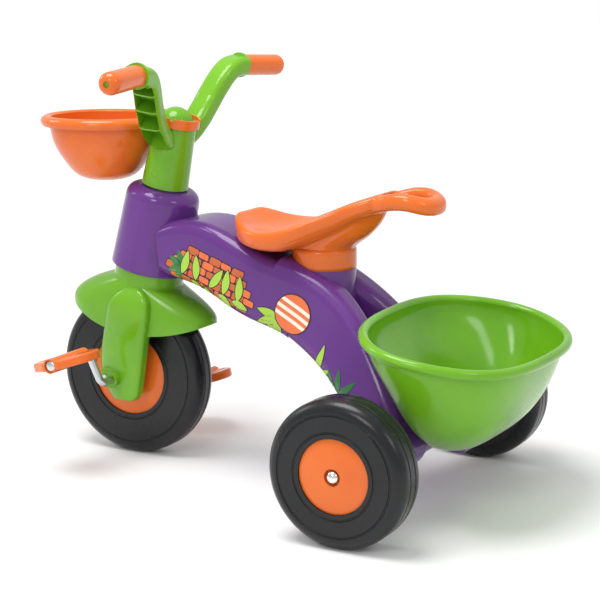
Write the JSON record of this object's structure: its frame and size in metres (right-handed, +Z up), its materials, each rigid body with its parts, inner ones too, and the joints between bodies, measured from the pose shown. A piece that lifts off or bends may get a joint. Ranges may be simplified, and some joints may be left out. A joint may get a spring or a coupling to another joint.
{
  "type": "child tricycle",
  "caption": "Pedal tricycle for a small child, with steered and pedalled front wheel, saddle with carry handle, front basket and rear bucket.",
  "frame": {"origin": "on the ground under the middle of the tricycle", "axes": "+Z up, the rider faces -Y, +X is the rider's left"},
  "size_m": [0.4682, 0.7136, 0.5292],
  "materials": {
    "purple_plastic": "gloss",
    "green_plastic": "gloss",
    "orange_plastic": "gloss",
    "black_plastic": "gloss",
    "steel": "satin",
    "chrome": "gloss",
    "bush_plastic": "satin"
  },
  "bodies": {
    "chassis": {"main_frame": "purple_plastic", "seat": "orange_plastic", "rear_basket": "green_plastic", "basket_screws": "steel", "rear_axle": "steel", "axle_cap_left": "chrome", "axle_cap_right": "chrome", "axle_washer_left": "bush_plastic", "axle_washer_right": "bush_plastic", "steering_bush_upper": "bush_plastic", "steering_bush_lower": "bush_plastic"},
    "steering": {"fork": "green_plastic", "handlebar": "green_plastic", "stem_screw": "steel", "grip_left": "orange_plastic", "grip_right": "orange_plastic", "front_basket": "orange_plastic", "axle_clip_left": "green_plastic", "axle_clip_right": "green_plastic", "clip_screws": "steel"},
    "front_wheel": {"front_tyre": "black_plastic", "front_hub_left": "orange_plastic", "front_hub_right": "orange_plastic", "crank_axle": "steel", "pedal_cap_left": "steel", "pedal_cap_right": "steel"},
    "pedal_left": {"pedal_left": "orange_plastic"},
    "pedal_right": {"pedal_right": "orange_plastic"},
    "rear_wheel_left": {"rear_tyre_left": "black_plastic", "rear_hub_outer_left": "orange_plastic", "rear_hub_inner_left": "orange_plastic"},
    "rear_wheel_right": {"rear_tyre_right": "black_plastic", "rear_hub_outer_right": "orange_plastic", "rear_hub_inner_right": "orange_plastic"}
  },
  "joints": [
    {"name": "steering", "type": "hinge", "parent": "chassis", "child": "steering", "pos_m": [0, -0.19553, 0.3], "axis": [0, 0.2181, 0.9759], "range_deg": [-40, 40]},
    {"name": "front_wheel_spin", "type": "hinge", "parent": "steering", "child": "front_wheel", "pos_m": [0, -0.23, 0.11], "axis": [1, 0, 0], "continuous": true},
    {"name": "pedal_left_spin", "type": "hinge", "parent": "front_wheel", "child": "pedal_left", "pos_m": [0.13, -0.24611, 0.14987], "axis": [1, 0, 0], "continuous": true},
    {"name": "pedal_right_spin", "type": "hinge", "parent": "front_wheel", "child": "pedal_right", "pos_m": [-0.13, -0.21389, 0.07013], "axis": [1, 0, 0], "continuous": true},
    {"name": "rear_wheel_left_spin", "type": "hinge", "parent": "chassis", "child": "rear_wheel_left", "pos_m": [0.203, 0.185, 0.087], "axis": [1, 0, 0], "continuous": true},
    {"name": "rear_wheel_right_spin", "type": "hinge", "parent": "chassis", "child": "rear_wheel_right", "pos_m": [-0.203, 0.185, 0.087], "axis": [1, 0, 0], "continuous": true}
  ]
}
